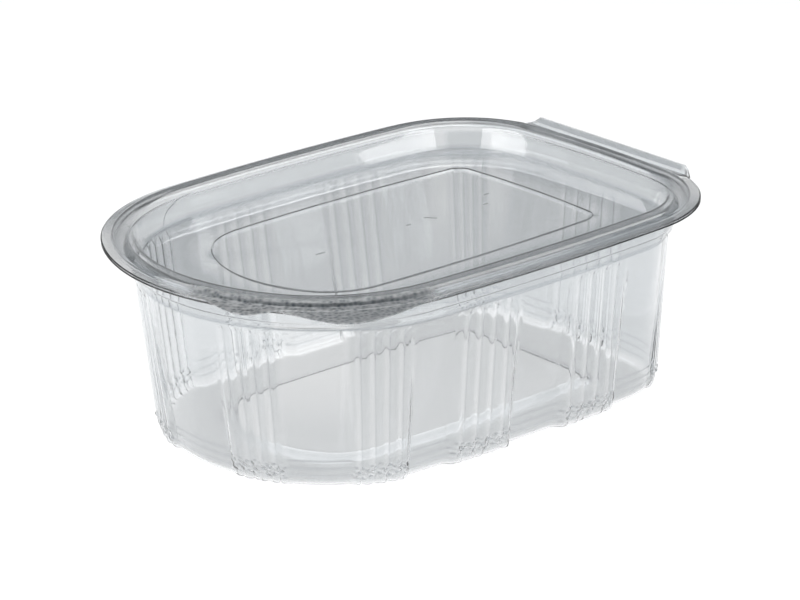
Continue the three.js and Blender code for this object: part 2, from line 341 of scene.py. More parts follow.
def strip_sheet(points: Array, thickness: float) -> tuple[Array, Array]:
    """Give an open grid a thickness: both sides, joined round the four edges.

    Args:
        points: middle surface, shape (n, rows, 3).
        thickness: of the sheet.

    Returns:
        Vertices and quads.
    """
    normal = grid_normals(points, wrap=False)
    n, rows = points.shape[:2]
    vertices = np.concatenate(
        [(points - normal * thickness / 2).reshape(-1, 3), (points + normal * thickness / 2).reshape(-1, 3)]
    )
    size = n * rows
    i = np.arange(n - 1)[:, None]
    j = np.arange(rows - 1)[None, :]
    base = (i * rows + j).reshape(-1)
    under = np.stack([base, base + rows, base + rows + 1, base + 1], axis=-1)
    over = under[:, ::-1] + size
    first = np.arange(rows - 1)
    last = first + (n - 1) * rows
    left = np.arange(n - 1) * rows
    right = left + rows - 1
    edges = [
        np.stack([first, first + 1, first + 1 + size, first + size], axis=-1),
        np.stack([last + 1, last, last + size, last + 1 + size], axis=-1),
        np.stack([left + rows, left, left + size, left + rows + size], axis=-1),
        np.stack([right, right + rows, right + rows + size, right + size], axis=-1),
    ]
    return vertices, np.concatenate([under, over, *edges])


def thread(path: Array, radius: float, sides: int = 6) -> tuple[Array, Array]:
    """Make a thin ridge along a path, thickest at the middle as sqrt(4t(1-t)) and pointed at both ends.

    Args:
        path: points along the middle line, shape (k, 3).
        radius: at the middle.
        sides: faces round the ridge.

    Returns:
        Vertices and faces, a triangle repeating its last corner.
    """
    along = np.gradient(path, axis=0)
    along = along / np.linalg.norm(along, axis=1, keepdims=True)
    side = np.cross(along, [0.0, 0.0, 1.0])
    side = side / np.linalg.norm(side, axis=1, keepdims=True)
    up = np.cross(side, along)
    count = len(path)
    share = (np.arange(count) + 1) / (count + 1)
    girth = radius * np.sqrt(4 * share * (1 - share))[:, None, None]
    angle = np.arange(sides) * 2 * math.pi / sides
    ring = side[:, None] * np.cos(angle)[:, None] + up[:, None] * np.sin(angle)[:, None]
    rings = path[:, None] + girth * ring
    tips = [path[0] - along[0] * radius, path[-1] + along[-1] * radius]
    vertices = np.concatenate([rings.reshape(-1, 3), tips])
    j = np.arange(sides)
    nxt = (j + 1) % sides
    start = (np.arange(count - 1) * sides)[:, None]
    ahead = start + sides
    skin = np.stack([start + j, ahead + j, ahead + nxt, start + nxt], axis=-1).reshape(-1, 4)
    first = np.full(sides, count * sides)
    last = first + 1
    end = (count - 1) * sides
    head = np.stack([j, nxt, first, first], axis=-1)
    tail = np.stack([end + nxt, end + j, last, last], axis=-1)
    return vertices, np.concatenate([skin, head, tail])


def area_normals(points: Array, faces: Array) -> Array:
    """Vertex normals: the sum of the faces' normals times their areas, so that wide faces stay flat.

    Args:
        points: shape (n, 3).
        faces: quads, a triangle repeating its last corner.

    Returns:
        Unit normals of shape (n, 3).
    """
    a, b, c, d = (points[faces[:, k]] for k in range(4))
    triangle = faces[:, 2] == faces[:, 3]
    cross = np.where(triangle[:, None], np.cross(b - a, c - a), np.cross(c - a, d - b))
    total = np.zeros_like(points)
    for k in range(4):
        used = np.ones(len(faces), dtype=bool) if k < 3 else ~triangle
        for axis in range(3):
            total[:, axis] += np.bincount(faces[used, k], cross[used, axis], minlength=len(points))
    return total / np.maximum(np.linalg.norm(total, axis=1, keepdims=True), 1e-18)


@dataclass
class Surface:
    """Vertices and faces that are gathered into one mesh, with two masks on each vertex.

    The mask grip is 1 where the stipple of a grip tab lies. The other mask is a depth of grey tint, 0 where
    clear and 1 where fullest: the sheet's own faint grey, with painted shade in its darker bands and lines
    and painted highlight where it is lighter.
    """

    vertices: list[Array] = field(default_factory=list)
    faces: list[Array] = field(default_factory=list)
    grips: list[Array] = field(default_factory=list)
    tints_and_shades: list[Array] = field(default_factory=list)
    total: int = 0

    def add(self, vertices: Array, faces: Array, grip: Array | float, tint_and_shade: Array | float) -> None:
        """Append one closed skin.

        Args:
            vertices: points in millimetres, shape (n, 3).
            faces: quads, a triangle repeating its last corner.
            grip: mask of the grip stipple, one number or one for each vertex.
            tint_and_shade: mask of the tint and its painted shade, likewise.
        """
        self.vertices.append(vertices)
        self.faces.append(faces + self.total)
        self.grips.append(np.broadcast_to(grip, len(vertices)))
        self.tints_and_shades.append(np.broadcast_to(tint_and_shade, len(vertices)))
        self.total += len(vertices)

    def build(self, name: str) -> bpy.types.Object:
        """Make the mesh object, in metres.

        Args:
            name: of the object and its mesh.

        Returns:
            The linked object at the origin.
        """
        points = np.concatenate(self.vertices) * MM
        faces = np.concatenate(self.faces)
        triangle = faces[:, 2] == faces[:, 3]
        sizes = np.where(triangle, 3, 4)
        keep = np.ones(faces.shape, dtype=bool)
        keep[triangle, 3] = False
        loops = faces[keep]
        mesh = bpy.data.meshes.new(name)
        mesh.vertices.add(len(points))
        mesh.vertices.foreach_set("co", points.astype(np.float32).ravel())
        mesh.loops.add(len(loops))
        mesh.loops.foreach_set("vertex_index", loops.astype(np.int32))
        mesh.polygons.add(len(faces))
        mesh.polygons.foreach_set("loop_start", (np.cumsum(sizes) - sizes).astype(np.int32))
        mesh.polygons.foreach_set("use_smooth", np.ones(len(faces), dtype=bool))
        mesh.update(calc_edges=True)
        mesh.validate()
        mesh.normals_split_custom_set_from_vertices(area_normals(points, faces))
        # The tint mask carries painted shade and painted highlight as well as the sheet's own grey.
        for mask, parts in (("grip", self.grips), ("tint_and_shade", self.tints_and_shades)):
            layer = mesh.attributes.new(mask, "FLOAT", "POINT")
            layer.data.foreach_set("value", np.concatenate(parts).astype(np.float32))
        made = bpy.data.objects.new(name, mesh)
        bpy.context.scene.collection.objects.link(made)
        return made


# ------------------------------------------------------------------------------------------------
# Finishes
# ------------------------------------------------------------------------------------------------


def attribute_mask(tree: bpy.types.NodeTree, name: str) -> bpy.types.NodeSocket:
    """Read one of a piece's masks.

    Args:
        tree: the material's node tree.
        name: of the mask.

    Returns:
        The socket that holds the mask's value.
    """
    node = tree.nodes.new("ShaderNodeAttribute")
    node.attribute_name = name
    return node.outputs["Fac"]


def math_node(
    tree: bpy.types.NodeTree, operation: str, *values: bpy.types.NodeSocket | float
) -> bpy.types.NodeSocket:
    """Add a Math node.

    Args:
        tree: the node tree that it goes into.
        operation: what it works out.
        values: a number or another node's output for each of its inputs.

    Returns:
        The socket that holds its result.
    """
    node = tree.nodes.new("ShaderNodeMath")
    node.operation = operation
    for socket, value in zip(node.inputs, values):
        if isinstance(value, bpy.types.NodeSocket):
            tree.links.new(value, socket)
        else:
            socket.default_value = value
    return node.outputs[0]


def range_node(
    tree: bpy.types.NodeTree,
    value: bpy.types.NodeSocket,
    span: tuple[float, float],
    target: tuple[float, float],
) -> bpy.types.NodeSocket:
    """Add a Map Range node: straight from one span of numbers to another, held at both ends.

    Args:
        tree: the node tree that it goes into.
        value: what it reads.
        span: the two ends of the numbers read.
        target: what the ends become.

    Returns:
        The socket that holds its result.
    """
    node = tree.nodes.new("ShaderNodeMapRange")
    tree.links.new(value, node.inputs["Value"])
    node.inputs["From Min"].default_value, node.inputs["From Max"].default_value = span
    node.inputs["To Min"].default_value, node.inputs["To Max"].default_value = target
    return node.outputs["Result"]


def ripple_group() -> bpy.types.NodeTree:
    """Build the forming ripple, the faint unevenness of a hot-formed sheet: coarse waves plus orange peel.

    Returns:
        A node group with inputs Wave Size, Wave Depth, Peel Size and Peel Depth and the output Height, all
        in metres.
    """
    tree = bpy.data.node_groups.new("forming_ripple", "ShaderNodeTree")
    usual = {"Wave Size": 0.012, "Wave Depth": 2e-5, "Peel Size": 0.0012, "Peel Depth": 1e-6}
    for name, value in usual.items():
        socket = tree.interface.new_socket(name, in_out="INPUT", socket_type="NodeSocketFloat")
        socket.default_value = value
    tree.interface.new_socket("Height", in_out="OUTPUT", socket_type="NodeSocketFloat")
    source = tree.nodes.new("NodeGroupInput")
    target = tree.nodes.new("NodeGroupOutput")
    place = tree.nodes.new("ShaderNodeTexCoord")
    heights: list[bpy.types.NodeSocket] = []
    for part in ("Wave", "Peel"):
        scale = math_node(tree, "DIVIDE", 1.0, source.outputs[f"{part} Size"])
        noise = tree.nodes.new("ShaderNodeTexNoise")
        noise.inputs["Detail"].default_value = 1.0
        tree.links.new(place.outputs["Object"], noise.inputs["Vector"])
        tree.links.new(scale, noise.inputs["Scale"])
        heights.append(math_node(tree, "MULTIPLY", noise.outputs["Fac"], source.outputs[f"{part} Depth"]))
    tree.links.new(math_node(tree, "ADD", *heights), target.inputs["Height"])
    return tree


@dataclass(frozen=True)
class ClearSheet:
    """Clear formed plastic with a faint grey tint and painted shade, and a stipple of painted shade where
    the grip mask is 1.

    Depths and the stipple's size are metres. The speckle is the share of the stipple's painted shade at the
    cells' edges, and shadow is the share of light that a shadow ray keeps at each skin.
    """

    name: str
    # The tint runs from thin_colour to full_colour by the tint mask; its darker levels are painted shade.
    thin_colour: tuple[float, float, float] = (0.985, 0.988, 0.988)
    full_colour: tuple[float, float, float] = (0.59, 0.613, 0.63)
    # Painted shade of the grip's stipple: the stippled clear skin looks dark because it scatters a dark
    # surrounding.
    grip_shade_colour: tuple[float, float, float] = (0.05, 0.062, 0.074)
    ior: float = 1.57
    roughness: float = 0.02
    stipple_roughness: float = 0.4
    wave_depth: float = 2.0e-5
    peel_depth: float = 1.5e-6
    stipple_depth: float = 1.6e-4
    stipple_size: float = 0.0011
    speckle: float = 0.62
    speckle_span: tuple[float, float] = (0.2, 0.75)
    shadow: float = 0.965

    def colour(
        self, tree: bpy.types.NodeTree, grip: bpy.types.NodeSocket, cells: bpy.types.NodeSocket
    ) -> bpy.types.NodeSocket:
        """Blend the tint from thin to full by the tint mask, and over it the stipple's speckled painted
        shade.

        Args:
            tree: the material's node tree.
            grip: the grip mask.
            cells: distance from the middle of a stipple cell, in cells.

        Returns:
            The socket that holds the colour.
        """
        tint = tree.nodes.new("ShaderNodeMix")
        tint.data_type = "RGBA"
        tree.links.new(attribute_mask(tree, "tint_and_shade"), tint.inputs[0])
        tint.inputs[6].default_value = (*self.thin_colour, 1.0)
        tint.inputs[7].default_value = (*self.full_colour, 1.0)
        grain = range_node(tree, cells, self.speckle_span, (1.0, self.speckle))
        # The stipple's speckled dark grey is painted shade.
        grip_shade = tree.nodes.new("ShaderNodeMix")
        grip_shade.data_type = "RGBA"
        tree.links.new(math_node(tree, "MULTIPLY", grain, grip), grip_shade.inputs[0])
        tree.links.new(tint.outputs[2], grip_shade.inputs[6])
        grip_shade.inputs[7].default_value = (*self.grip_shade_colour, 1.0)
        return grip_shade.outputs[2]

    def relief(
        self,
        tree: bpy.types.NodeTree,
        ripple: bpy.types.NodeTree,
        grip: bpy.types.NodeSocket,
        cells: bpy.types.NodeSocket,
    ) -> bpy.types.NodeSocket:
        """Bump the skin by the forming ripple, plus the stipple where the grip mask is 1.

        Args:
            tree: the material's node tree.
            ripple: the forming ripple's node group.
            grip: the grip mask.
            cells: distance from the middle of a stipple cell, in cells.

        Returns:
            The socket that holds the normal.
        """
        group = tree.nodes.new("ShaderNodeGroup")
        group.node_tree = ripple
        group.inputs["Wave Depth"].default_value = self.wave_depth
        group.inputs["Peel Depth"].default_value = self.peel_depth
        masked = math_node(tree, "MULTIPLY", cells, grip)
        height = math_node(tree, "MULTIPLY_ADD", masked, self.stipple_depth, group.outputs["Height"])
        bump = tree.nodes.new("ShaderNodeBump")
        bump.inputs["Distance"].default_value = 1.0
        tree.links.new(height, bump.inputs["Height"])
        return bump.outputs["Normal"]

    def surface(self, tree: bpy.types.NodeTree, shader: bpy.types.Node) -> bpy.types.NodeSocket:
        """Let shadow rays and diffuse rays pass straight through, dimmed a little, so that light gets in.

        Args:
            tree: the material's node tree.
            shader: the plastic's own shader, which all other rays meet.

        Returns:
            The socket that holds the shading.
        """
        path = tree.nodes.new("ShaderNodeLightPath")
        passing = math_node(tree, "MAXIMUM", path.outputs["Is Shadow Ray"], path.outputs["Is Diffuse Ray"])
        clear = tree.nodes.new("ShaderNodeBsdfTransparent")
        clear.inputs["Color"].default_value = (self.shadow, self.shadow, self.shadow, 1.0)
        either = tree.nodes.new("ShaderNodeMixShader")
        tree.links.new(passing, either.inputs[0])
        tree.links.new(shader.outputs[0], either.inputs[1])
        tree.links.new(clear.outputs[0], either.inputs[2])
        return either.outputs[0]

    def material(self, ripple: bpy.types.NodeTree) -> bpy.types.Material:
        """Make the material.

        Args:
            ripple: the forming ripple's node group.

        Returns:
            The material.
        """
        made = bpy.data.materials.new(self.name)
        made.use_nodes = True
        tree = made.node_tree
        shader = tree.nodes["Principled BSDF"]
        shader.inputs["IOR"].default_value = self.ior
        shader.inputs["Transmission Weight"].default_value = 1.0
        grip = attribute_mask(tree, "grip")
        place = tree.nodes.new("ShaderNodeTexCoord")
        stipple = tree.nodes.new("ShaderNodeTexVoronoi")
        stipple.inputs["Scale"].default_value = 1.0 / self.stipple_size
        tree.links.new(place.outputs["Object"], stipple.inputs["Vector"])
        cells = stipple.outputs["Distance"]
        rough = range_node(tree, grip, (0.0, 1.0), (self.roughness, self.stipple_roughness))
        tree.links.new(self.colour(tree, grip, cells), shader.inputs["Base Color"])
        tree.links.new(rough, shader.inputs["Roughness"])
        tree.links.new(self.relief(tree, ripple, grip, cells), shader.inputs["Normal"])
        tree.links.new(self.surface(tree, shader), tree.nodes["Material Output"].inputs["Surface"])
        return made


# ------------------------------------------------------------------------------------------------
# The hinge legs and the tabs
# ------------------------------------------------------------------------------------------------


@dataclass(frozen=True)
class HingeLeg:
    """An upright leg of the living hinge: a strip that curves up from the flange and leans to the fold.

    With t from 0 at its foot to 1 at its top, it leans over as t^lean_power and rises as t^rise_power.
    Across the hinge it is narrower at the top by a straight taper, and its upper corners are rounded as a
    quarter circle is. Rows with t below 0 are its root, which runs level into the flange.
    """

    foot: tuple[float, float]
    top: tuple[float, float]
    half_width: float = 29.0
    narrowing: float = 2.0
    lean_power: float = 0.75
    rise_power: float = 1.25
    root_slope: float = 4.0
    corner_share: float = 0.035
    corner_drop: float = 0.9
    stations: int = 61
    rows: tuple[float, ...] = (-0.25, 0.0, 0.1, 0.22, 0.4, 0.6, 0.8, 0.92, 1.0)

    def sheet(self, shift_x: float, thickness: float) -> tuple[Array, Array]:
        """Make the leg.

        Args:
            shift_x: distance of the rim outline's centre from the frame's origin along X.
            thickness: of the sheet.

        Returns:
            Vertices and quads.
        """
        across = np.linspace(-1, 1, self.stations)[:, None]
        up = np.array(self.rows)[None, :]
        rise = np.clip(up, 0, 1)
        x = mix(self.foot[0], self.top[0], rise**self.lean_power) + np.minimum(up, 0) * self.root_slope
        y = across * (self.half_width - self.narrowing * rise)
        corner = np.clip((np.abs(across) - (1 - self.corner_share)) / self.corner_share, 0, 1)
        # The factor 0.99 keeps the last stretch of the corner's round short of upright.
        drop = (1 - np.sqrt(1 - 0.99 * corner**2)) * self.corner_drop
        z = mix(self.foot[1], self.top[1], rise**self.rise_power) - drop * rise
        points = np.stack(np.broadcast_arrays(x + shift_x, y, z), axis=-1)
        return strip_sheet(points, thickness)


@dataclass(frozen=True)
class GripTab:
    """A tab on a flange: where along the outline it starts, peaks and ends, and how far it reaches out."""

    start: float
    peak: float
    end: float
    reach: float

    def reach_at(self, s: Array) -> Array:
        """Rise smoothly from the start to the peak and fall smoothly to the end.

        Args:
            s: station distances.

        Returns:
            How far the flange's edge stands out at each station.
        """
        rise = smooth(s, self.start, self.peak)
        fall = smooth(-s, -self.end, -self.peak)
        return self.reach * np.where(s < self.peak, rise, fall)


# ------------------------------------------------------------------------------------------------
# The tub
# ------------------------------------------------------------------------------------------------


@dataclass(frozen=True)
class FluteGroup:
    """A group of flutes: the middle and width of its stretch of the outline, and how many flutes it has."""

    middle: float
    width: float
    flutes: int


@dataclass
class Tub:
    """The deep part of the pot: raised floor, rounded foot, fluted wall, collar, neck, bead and flange.

    Heights are over the surface that the foot stands on, and insets are in from the rim outline. Panels are
    the plain stretches of wall between the groups of flutes. Stocks, shades, highlights and clearings are
    depths
    of tint, on the scale that Surface gives: the shades are painted shade and the highlights painted
    highlight.
    A span is where something sets in or fades out.
    """

    outline: RimOutline
    thickness: float = 0.32
    # The raised floor, its slope, the flat ring round it and the foot's round.
    floor_rise: float = 1.4
    floor_centre: float = 29.95
    floor_edge: float = 28.9
    floor_edge_round: float = 3.0
    slope_foot: float = 26.5
    slope_foot_round: float = 2.5
    ring_margin: float = 1.2
    foot_round: float = 1.3
    foot_steps: int = 5
    radius_top: float = 1.8
    # The wall: the heights of its lines, and the insets of panels and groups at their tops and feet.
    taper_top: float = 8.0
    taper: float = 0.9
    taper_power: float = 1.3
    flute_top: float = 39.8
    wall_top: float = 5.9
    wall_corner: float = 1.95
    foot_corner: float = 0.9
    side_panel_foot: float = 12.9
    end_panel_foot: float = 12.0
    group_foot: float = 10.3
    # The flutes, and the tucks and the crumple at their feet.
    flute_depth: float = 0.4
    group_blend: float = 3.0
    cap_drop: float = 1.3
    cap_fade: float = 0.9
    swell: float = 0.02
    swell_span: tuple[float, float, float] = (3.0, 7.0, 37.0)
    tuck_height: float = 3.5
    tuck_bow: float = 1.1
    tuck_gap: float = 1.4
    upper_tuck: float = 0.3
    lower_tuck: float = 0.2
    crinkle_depth: float = 0.13
    crinkle_span: tuple[float, float] = (4.3, 6.3)
    # Each wave of the crumple: radians per millimetre along the outline and up, and its phase.
    crinkle_waves: tuple[tuple[float, float, float], ...] = (
        (2.3, 1.9, 0.0),
        (3.1, -2.7, 1.0),
        (1.3, 4.4, 0.0),
    )
    # The creases of the panels.
    crease_heights: tuple[float, ...] = (2.6, 4.5, 6.5)
    crease: float = 0.11
    crease_width: float = 0.25
    # The shoulder over the flutes, the collar with the fine step at its line, and the neck.
    shoulder_inset: float = 0.4
    shoulder_rise: float = 0.9
    collar_line: float = 41.6
    collar_top: float = 45.2
    collar: float = 5.6
    collar_corner: float = 0.6
    collar_lean: float = 0.6
    step_foot: float = 0.27
    step_head: float = 0.05
    step_rise: float = 0.3
    neck: float = 6.8
    neck_foot: float = 0.1
    neck_lean: float = 0.9
    # The bead, the flange and what stands on it.
    flange: float = 46.56
    bead: float = 1.0
    bead_outer: float = 2.7
    bead_crown: float = 1.9
    bead_root: float = 0.3
    flange_margin: float = 0.34
    tab: GripTab = GripTab(-173.5, -157.5, -138.5, 6.8)
    leg: HingeLeg = HingeLeg((69.6, 46.6), (70.75, 48.8))
    # Stations across a flute as shares of it, stations along a panel, and heights of the wall's rows.
    flute_steps: tuple[float, ...] = (0.0, 0.06, 0.16, 0.3, 0.45, 0.6, 0.78, 0.94)
    panel_step: float = 2.6
    low_rows: int = 19
    low_rows_top: float = 7.0
    wall_rows: tuple[float, ...] = (7.8, 9.0, 14.0, 21.0, 28.0, 34.0)
    cap_rows: tuple[float, ...] = (-2.4, -1.8, -1.4, -1.0, -0.7, -0.4, -0.15, 0.0, 0.15)
    # Depths of tint: up the wall, then on the parts that differ from it. The shades are painted shade and
    # the highlight is painted highlight.
    stock_heights: tuple[float, ...] = (1.0, 3.0, 5.0, 39.0, 40.5, 42.5, 45.2)
    stock_levels: tuple[float, ...] = (0.26, 0.44, 0.51, 0.51, 0.7, 0.78, 0.8)
    hinge_wall_stock: float = 0.13
    fluted_span: tuple[float, float, float] = (2.0, 6.0, 38.3)
    # Painted shade in the valleys between flutes and a painted highlight along one flank of each.
    valley_share: float = 0.05
    valley_shade: float = 0.28
    flank_span: tuple[float, float, float, float] = (0.03, 0.14, 0.34, 0.56)
    flank_highlight: float = 0.2
    corner_span: tuple[float, float] = (16.0, 26.0)
    corner_clearing: float = 0.35
    # Painted shade lines at the shoulder, on the creases and in the crumple.
    shoulder_width: float = 0.25
    crease_shade: float = 0.4
    crease_shade_width: float = 0.22
    hatch_span: tuple[float, float] = (4.9, 6.5)
    hatch_shade: float = 0.75
    foot_stock: float = 0.2
    # Painted shade on the slope of the raised floor.
    riser_shade: float = 0.8
    ring_stock: float = 0.2
    bead_stock: float = 0.3
    # Painted shade on the bead's outer side and along the flange's long sides.
    bead_side_shade: float = 0.7
    flange_stock: float = 0.05
    side_flange_shade: float = 0.7
    leg_stock: float = 0.68
    groups: tuple[FluteGroup, ...] = (
        FluteGroup(0.0, 27.0, 6),
        FluteGroup(44.5, 17.0, 5),
        FluteGroup(82.5, 20.5, 5),
        FluteGroup(116.5, 20.5, 5),
        FluteGroup(148.0, 20.5, 5),
        FluteGroup(186.7, 20.5, 5),
    )

    def stations(self) -> Array:
        """Spread stations round the outline: close together in the fluted groups, wider in the panels.

        Returns:
            Distances from the middle of the hinge end, from the -Y half round to the +Y half.
        """
        half: list[Array] = []
        reached = 0.0
        for group in self.groups:
            start = max(group.middle - group.width / 2, 0.0)
            end = group.middle + group.width / 2
            if start > reached:
                count = math.ceil((start - reached) / self.panel_step)
                half.append(np.linspace(reached, start, count, endpoint=False))
            pitch = group.width / group.flutes
            first = group.middle - group.width / 2 + pitch * np.arange(group.flutes)
            spots = (first[:, None] + pitch * np.array(self.flute_steps)).ravel()
            half.append(spots[spots > start - NUDGE])
            reached = end
        far = self.outline.half_round
        half.append(np.linspace(reached, far, math.ceil((far - reached) / self.panel_step) + 1))
        right = np.concatenate(half)
        return np.concatenate([-right[1:-1][::-1], right])

    def flute_at(self, s: Array) -> tuple[Array, Array]:
        """Locate stations in the fluted groups.

        Args:
            s: station distances.

        Returns:
            How far the group stands out from the panel, 0 to 1, and the place across the flute, 0 to 1.
        """
        stand = np.zeros_like(s)
        part = np.zeros_like(s)
        for group in self.groups:
            off = np.abs(s) - group.middle
            inside = np.abs(off) < group.width / 2
            turn = (off + group.width / 2) / group.width * group.flutes
            stand = np.where(inside, smooth(group.width / 2 - np.abs(off), 0, self.group_blend), stand)
            part = np.where(inside, np.clip(turn - np.floor(turn + NUDGE), 0, 1), part)
        return stand, part

    def crinkle(self, s: Array, z: Array) -> Array:
        """Crumple of the flutes' feet, from -3 to 3: the sum of three sine waves that cross one another."""
        return sum(np.sin(along * s[:, None] + up * z + phase) for along, up, phase in self.crinkle_waves)

    def wall_inset(self, s: Array, z: Array) -> Array:
        """Inset of the wall at stations and heights.

        A panel leans in a straight line from the flute tops down to the taper, and further in below it, as
        t^taper_power, with a small ridge at each crease. A group leans straight to the foot. Its flutes are
        cut to a section that is the mean of 4p(1-p) and (1 - cos 2 pi p) / 2, with p the place across the
        flute. They fade out at their tops along an arch, and two tucks and the crumple lie at their feet.

        Args:
            s: station distances, shape (n,).
            z: heights, shape (rows,).

        Returns:
            Insets of shape (n, rows).
        """
        cornering = self.outline.cornering(s)[:, None]
        endness = self.outline.at(s)[1][:, :1] ** 2
        top = self.wall_top + self.wall_corner * cornering
        panel_foot = mix(self.side_panel_foot, self.end_panel_foot, endness)
        down = np.clip((self.flute_top - z) / (self.flute_top - self.taper_top), 0, 1)
        below = np.clip((self.taper_top - z) / (self.taper_top - self.radius_top), 0, 1)
        panel = mix(top, panel_foot - self.taper, down) + self.taper * below**self.taper_power
        for height in self.crease_heights:
            panel = panel - self.crease * bell(z - height, self.crease_width)
        reach = np.clip((self.flute_top - z) / (self.flute_top - self.radius_top), 0, 1)
        crest = mix(top, self.group_foot + self.foot_corner * cornering, reach)
        stand, part = (value[:, None] for value in self.flute_at(s))
        bow = mix(4 * part * (1 - part), 0.5 - 0.5 * np.cos(2 * math.pi * part), 0.5)
        arch = self.flute_top - self.cap_drop * (1 - np.sqrt(np.clip(bow, 0, 1)))
        fade = 1 - smooth(z - arch, -self.cap_fade, 0.0)
        tuck_line = self.tuck_height + self.tuck_bow * np.abs(2 * part - 1)
        upper = self.upper_tuck * (1 - smooth(z - tuck_line, -0.4, 0.3))
        lower = self.lower_tuck * (1 - smooth(z - tuck_line + self.tuck_gap, -0.3, 0.3))
        crumple = self.crinkle_depth * self.crinkle(s, z) * (1 - smooth(z, *self.crinkle_span))
        group = crest + self.flute_depth * (1 - bow) * fade + (upper + lower) + crumple
        return mix(panel, group, stand)

    def floor_profile(self, foot: Array) -> tuple[Array, Array]:
        """Profile of the raised floor, its slope and the flat ring that the pot stands on.

        Args:
            foot: inset of the wall at the top of the foot's round, shape (n,).

        Returns:
            Insets and heights, each of shape (n, rows).
        """
        ground = self.thickness / 2
        raised = self.floor_rise + ground
        knees = [
            Knee(self.floor_centre, raised),
            Knee(self.floor_edge, raised, self.floor_edge_round),
            Knee(self.slope_foot, ground, self.slope_foot_round),
            Knee(foot + self.foot_round + self.ring_margin, ground),
        ]
        return profile(knees, len(foot), steps=3)

    def foot_profile(self, foot: Array) -> tuple[Array, Array]:
        """Profile of the foot's round: a quarter ellipse that starts level and ends upright.

        Args:
            foot: inset of the wall at the top of the foot's round, shape (n,).

        Returns:
            Insets and heights, each of shape (n, rows), without the round's last point.
        """
        ground = self.thickness / 2
        angle = np.linspace(0, math.pi / 2, self.foot_steps + 1)[:-1]
        inset = foot[:, None] + self.foot_round * (1 - np.sin(angle))
        z = ground + (self.radius_top - ground) * (1 - np.cos(angle))
        return inset, np.broadcast_to(z, inset.shape)

    def wall_profile(self, s: Array) -> tuple[Array, Array]:
        """Profile of the wall, with rows close together at the creases and at the flutes' tops.

        Args:
            s: station distances, shape (n,).

        Returns:
            Insets and heights, each of shape (n, rows).
        """
        low = np.linspace(self.radius_top, self.low_rows_top, self.low_rows)
        heights = np.concatenate([low, self.wall_rows, self.flute_top + np.array(self.cap_rows)])
        inset = self.wall_inset(s, heights)
        return inset, np.broadcast_to(heights, inset.shape)

    def rim_profile(self, s: Array) -> tuple[Array, Array]:
        """Profile of the shoulder, the collar and its fine step, the neck, the bead and the flange.

        Args:
            s: station distances, shape (n,).

        Returns:
            Insets and heights, each of shape (n, rows).
        """
        collar = self.collar + self.collar_corner * self.outline.cornering(s)
        crown = self.flange + self.bead
        edge = self.thickness / 2 - self.tab.reach_at(s)
        knees = [
            Knee(collar + self.shoulder_inset, self.flute_top + self.shoulder_rise, 0.4),
            Knee(collar + self.step_foot, self.collar_line, 0.1),
            Knee(collar + self.step_head, self.collar_line + self.step_rise, 0.2),
            Knee(collar - self.collar_lean, self.collar_top, 0.5),
            Knee(self.neck, self.flange + self.neck_foot, 0.8),
            Knee(self.neck - self.neck_lean, crown, 0.8),
            Knee(self.bead_outer + self.bead_crown, crown, 0.5),
            Knee(self.bead_outer + self.bead_root, self.flange, 0.5),
            Knee(edge + self.flange_margin, self.flange),
            Knee(edge, self.flange),
        ]
        return profile(knees, len(s), steps=3)

    def sheet_thickness(self, s: Array, z: Array) -> Array:
        """Thickness of the sheet: fuller in the valleys between flutes by swell times 1 - 4p(1-p).

        Args:
            s: station distances, shape (n,).
            z: heights, shape (n, rows).

        Returns:
            The thickness at each point of the swept profile, shape (n, 2 + rows).
        """
        stand, part = self.flute_at(s)
        swell = (self.swell * stand * (1 - 4 * part * (1 - part)))[:, None]
        thick = self.thickness + swell * plateau(z, *self.swell_span, self.flute_top)
        return np.concatenate([thick[:, :1], thick[:, :1], thick], axis=1)

    def grip_mask(self, s: Array, inset: Array, z: Array) -> Array:
        """Mark the stippled skin: the flange round the tab, outside the bead.

        Args:
            s: station distances, shape (n,).
            inset: insets, shape (n, rows).
            z: heights, shape (n, rows).

        Returns:
            The grip mask, shape (n, rows).
        """
        along = plateau(s, self.tab.start - 2, self.tab.start + 3, self.tab.end - 3, self.tab.end + 5)
        outside = 1 - smooth(inset, self.bead_outer - 0.2, self.bead_outer + 0.3)
        return along[:, None] * outside * (z > self.collar_top)

    def floor_tint(self, inset: Array, z: Array, rows: int) -> Array:
        """Spread the tint over floor and foot: a little on the ring, and painted shade full on the raised
        floor's slope.

        The foot's own tint grows as t^4, with t from 0 at the floor's middle to 1 at the last row.

        Args:
            inset: insets of the floor's profile, shape (n, floor rows).
            z: heights of the floor's profile, shape (n, floor rows).
            rows: number of rows of floor and foot together.

        Returns:
            The stock mask, shape (n, rows).
        """
        n, floor_rows = z.shape
        tint = np.broadcast_to(np.linspace(0, 1, rows) ** 4 * self.foot_stock, (n, rows)).copy()
        tint[:, :floor_rows] += self.ring_stock * (z < self.floor_rise)
        # Painted shade on the raised floor's slope, which dulls its bright band.
        tint[:, :floor_rows] += self.riser_shade * steepness(inset, z)
        return tint

    def wall_tint(self, s: Array, z: Array) -> Array:
        """Spread the tint over the wall: fuller towards the flange and at the hinge end.

        It is clearer along one flank of every flute, a painted highlight, and high on the panels at the
        corners.
        Fine darker lines of painted shade lie in the valleys between flutes, at the shoulder, on the creases
        and in the crumple.

        Args:
            s: station distances, shape (n,).
            z: heights, shape (n, rows).

        Returns:
            The stock mask, shape (n, rows).
        """
        level = np.interp(z, self.stock_heights, self.stock_levels)
        stand, part = (value[:, None] for value in self.flute_at(s))
        # Painted shade in the valleys and a painted highlight along one flank of every flute.
        valley = 1 - smooth(np.minimum(part, 1 - part), 0.0, self.valley_share)
        across = self.valley_shade * valley - self.flank_highlight * plateau(part, *self.flank_span)
        flutes = stand * plateau(z, *self.fluted_span, self.flute_top) * across
        cornering = smooth(self.outline.cornering(s)[:, None], 0.1, 0.6)
